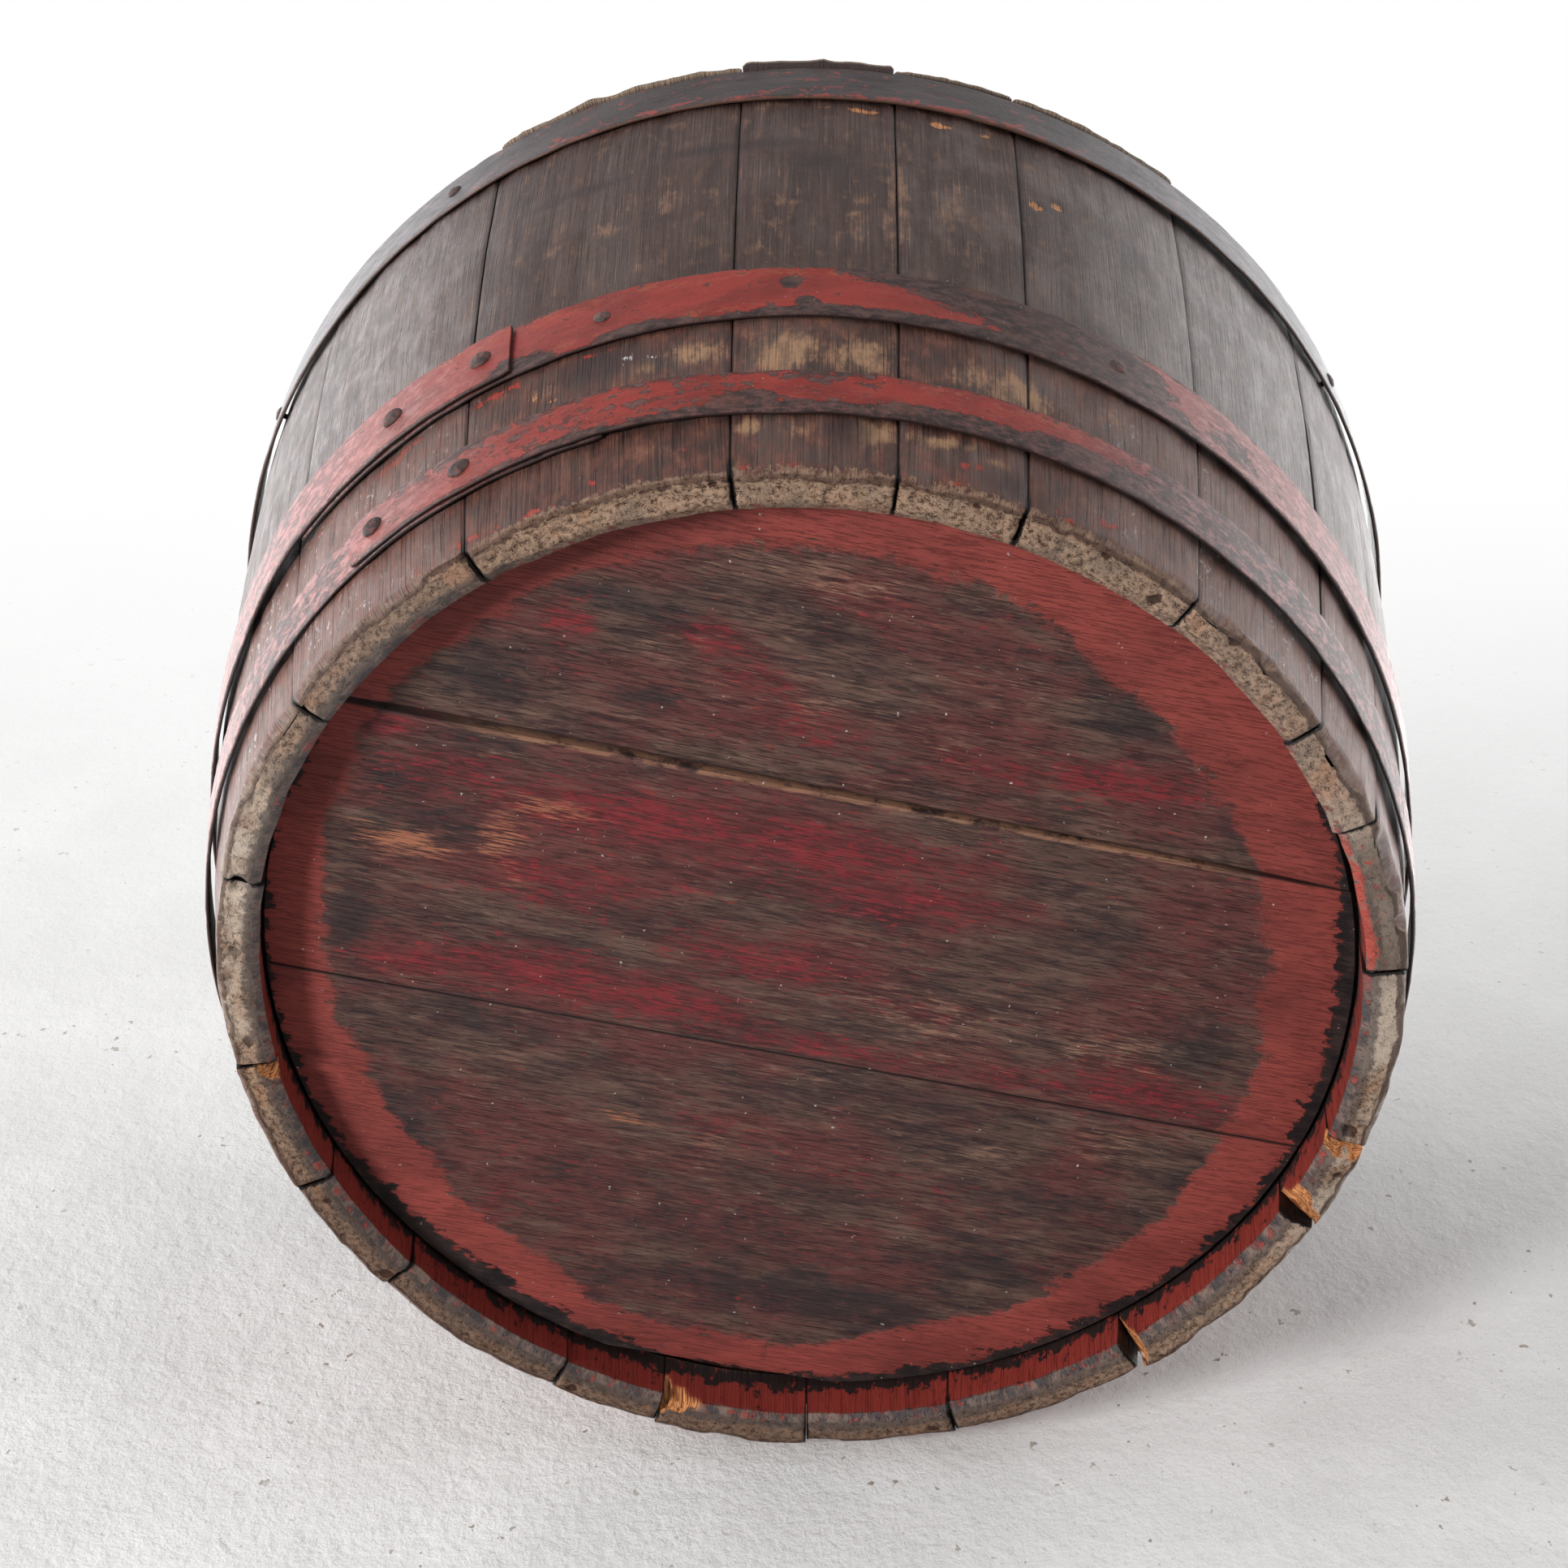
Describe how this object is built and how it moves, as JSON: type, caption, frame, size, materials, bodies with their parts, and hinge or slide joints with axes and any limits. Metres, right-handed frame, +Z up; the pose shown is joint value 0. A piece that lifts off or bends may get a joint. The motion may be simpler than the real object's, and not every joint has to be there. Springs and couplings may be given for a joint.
{
  "type": "half wine cask",
  "caption": "Head end of a coopered oak wine cask, sawn across near the bilge: staves, boarded head and riveted iron hoops, open at the sawn end.",
  "frame": {"origin": "centre of the plane of the chime ends, the lower ends of the staves that the cask stands on", "axes": "+Z up along the cask's axis, from the chime towards the open sawn end; the head's boards run 13 degrees anticlockwise from +X seen from above"},
  "size_m": [0.6604, 0.666, 0.388],
  "materials": {
    "stave_oak": "old weathered oak, dark brown-grey, worn and stained, sawn end grain at both ends",
    "head_oak": "dark worn oak boards with old red paint, solid in a ring next to the staves",
    "dowel_oak": "clean dry oak, unpainted",
    "red_hoop_iron": "flaking matt red paint over rusty strip iron",
    "black_hoop_iron": "dark worn strip iron with a dull sheen and flecks of red paint",
    "fastener_iron": "hammered, rusty iron"
  },
  "bodies": {
    "root": {"bilge_hoop": "red_hoop_iron", "bilge_hoop_nail_1": "fastener_iron", "bilge_hoop_nail_2": "fastener_iron", "bilge_hoop_nail_3": "fastener_iron", "bilge_hoop_rivet_1": "fastener_iron", "bilge_hoop_rivet_2": "fastener_iron", "head_board_bottom": "head_oak", "head_board_middle": "head_oak", "head_board_top": "head_oak", "head_dowel_1": "dowel_oak", "head_dowel_2": "dowel_oak", "head_dowel_3": "dowel_oak", "head_dowel_4": "dowel_oak", "quarter_hoop": "red_hoop_iron", "quarter_hoop_rivet_1": "fastener_iron", "quarter_hoop_rivet_2": "fastener_iron", "rim_hoop": "black_hoop_iron", "rim_hoop_nail_1": "fastener_iron", "rim_hoop_nail_2": "fastener_iron", "rim_hoop_nail_3": "fastener_iron", "rim_hoop_rivet_1": "fastener_iron", "rim_hoop_rivet_2": "fastener_iron", "stave_01": "stave_oak", "stave_02": "stave_oak", "stave_03": "stave_oak", "stave_04": "stave_oak", "stave_05": "stave_oak", "stave_06": "stave_oak", "stave_07": "stave_oak", "stave_08": "stave_oak", "stave_09": "stave_oak", "stave_10": "stave_oak", "stave_11": "stave_oak", "stave_12": "stave_oak", "stave_13": "stave_oak", "stave_14": "stave_oak", "stave_15": "stave_oak", "stave_16": "stave_oak", "stave_17": "stave_oak", "stave_18": "stave_oak", "stave_19": "stave_oak", "stave_20": "stave_oak"}
  },
  "joints": []
}
